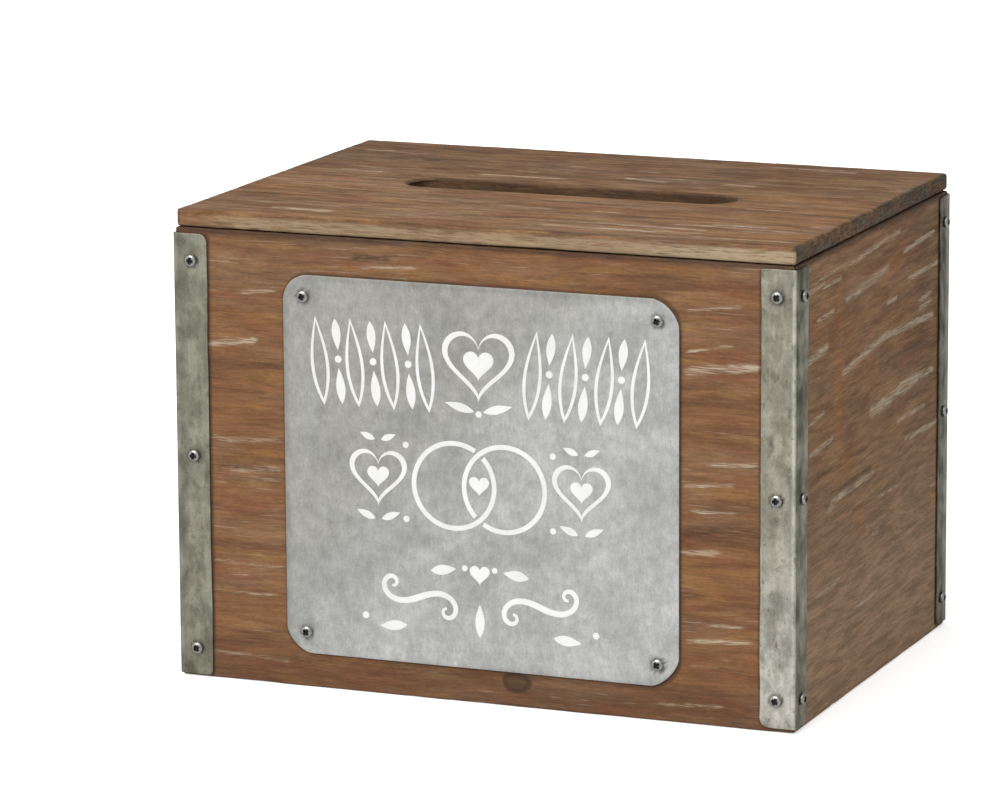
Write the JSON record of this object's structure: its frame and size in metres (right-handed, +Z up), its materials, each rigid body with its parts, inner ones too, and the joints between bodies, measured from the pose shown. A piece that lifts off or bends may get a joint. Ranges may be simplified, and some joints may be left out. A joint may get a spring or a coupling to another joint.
{
  "type": "wedding card box",
  "caption": "Rectangular wooden box with a hinged lid, a round-ended slot for cards in the lid, folded sheet-metal corner brackets and a rounded sheet-metal sign plate on the front.",
  "frame": {"origin": "centre of the underside, on the plane that the box rests on", "axes": "+X to the right seen from the front, -Y towards the front with the sign plate, +Z up"},
  "size_m": [0.3122, 0.2302, 0.2236],
  "materials": {
    "wall_wood": "stained, wire-brushed softwood with pale streaks",
    "bottom_wood": "thin stained board",
    "lid_wood": "stained, wire-brushed softwood with pale streaks",
    "bracket_zinc": "dull mottled galvanised sheet",
    "sign_zinc": "light mottled galvanised sheet with a painted white motif",
    "screw_steel": "bright zinc plate",
    "hinge_steel": "dull zinc plate"
  },
  "bodies": {
    "box": {"front_panel": "wall_wood", "back_panel": "wall_wood", "left_panel": "wall_wood", "right_panel": "wall_wood", "bottom_panel": "bottom_wood", "sign_plate": "sign_zinc", "sign_plate_screw_bottom_left": "screw_steel", "sign_plate_screw_bottom_right": "screw_steel", "sign_plate_screw_top_left": "screw_steel", "sign_plate_screw_top_right": "screw_steel", "front_left_bracket": "bracket_zinc", "front_left_bracket_front_screw_bottom": "screw_steel", "front_left_bracket_front_screw_middle": "screw_steel", "front_left_bracket_front_screw_top": "screw_steel", "front_left_bracket_left_screw_bottom": "screw_steel", "front_left_bracket_left_screw_middle": "screw_steel", "front_left_bracket_left_screw_top": "screw_steel", "front_right_bracket": "bracket_zinc", "front_right_bracket_front_screw_bottom": "screw_steel", "front_right_bracket_front_screw_middle": "screw_steel", "front_right_bracket_front_screw_top": "screw_steel", "front_right_bracket_right_screw_bottom": "screw_steel", "front_right_bracket_right_screw_middle": "screw_steel", "front_right_bracket_right_screw_top": "screw_steel", "back_left_bracket": "bracket_zinc", "back_left_bracket_back_screw_bottom": "screw_steel", "back_left_bracket_back_screw_middle": "screw_steel", "back_left_bracket_back_screw_top": "screw_steel", "back_left_bracket_left_screw_bottom": "screw_steel", "back_left_bracket_left_screw_middle": "screw_steel", "back_left_bracket_left_screw_top": "screw_steel", "back_right_bracket": "bracket_zinc", "back_right_bracket_back_screw_bottom": "screw_steel", "back_right_bracket_back_screw_middle": "screw_steel", "back_right_bracket_back_screw_top": "screw_steel", "back_right_bracket_right_screw_bottom": "screw_steel", "back_right_bracket_right_screw_middle": "screw_steel", "back_right_bracket_right_screw_top": "screw_steel", "left_hinge_body_leaf": "hinge_steel", "left_hinge_pin": "hinge_steel", "left_hinge_body_screw_left": "screw_steel", "left_hinge_body_screw_right": "screw_steel", "right_hinge_body_leaf": "hinge_steel", "right_hinge_pin": "hinge_steel", "right_hinge_body_screw_left": "screw_steel", "right_hinge_body_screw_right": "screw_steel"},
    "lid": {"lid_panel": "lid_wood", "left_hinge_lid_leaf": "hinge_steel", "left_hinge_lid_screw_left": "screw_steel", "left_hinge_lid_screw_right": "screw_steel", "right_hinge_lid_leaf": "hinge_steel", "right_hinge_lid_screw_left": "screw_steel", "right_hinge_lid_screw_right": "screw_steel"}
  },
  "joints": [
    {"name": "lid_hinge", "type": "hinge", "parent": "box", "child": "lid", "pos_m": [0, 0.11365, 0.21525], "axis": [-1, 0, 0], "range_deg": [0, 180]}
  ]
}
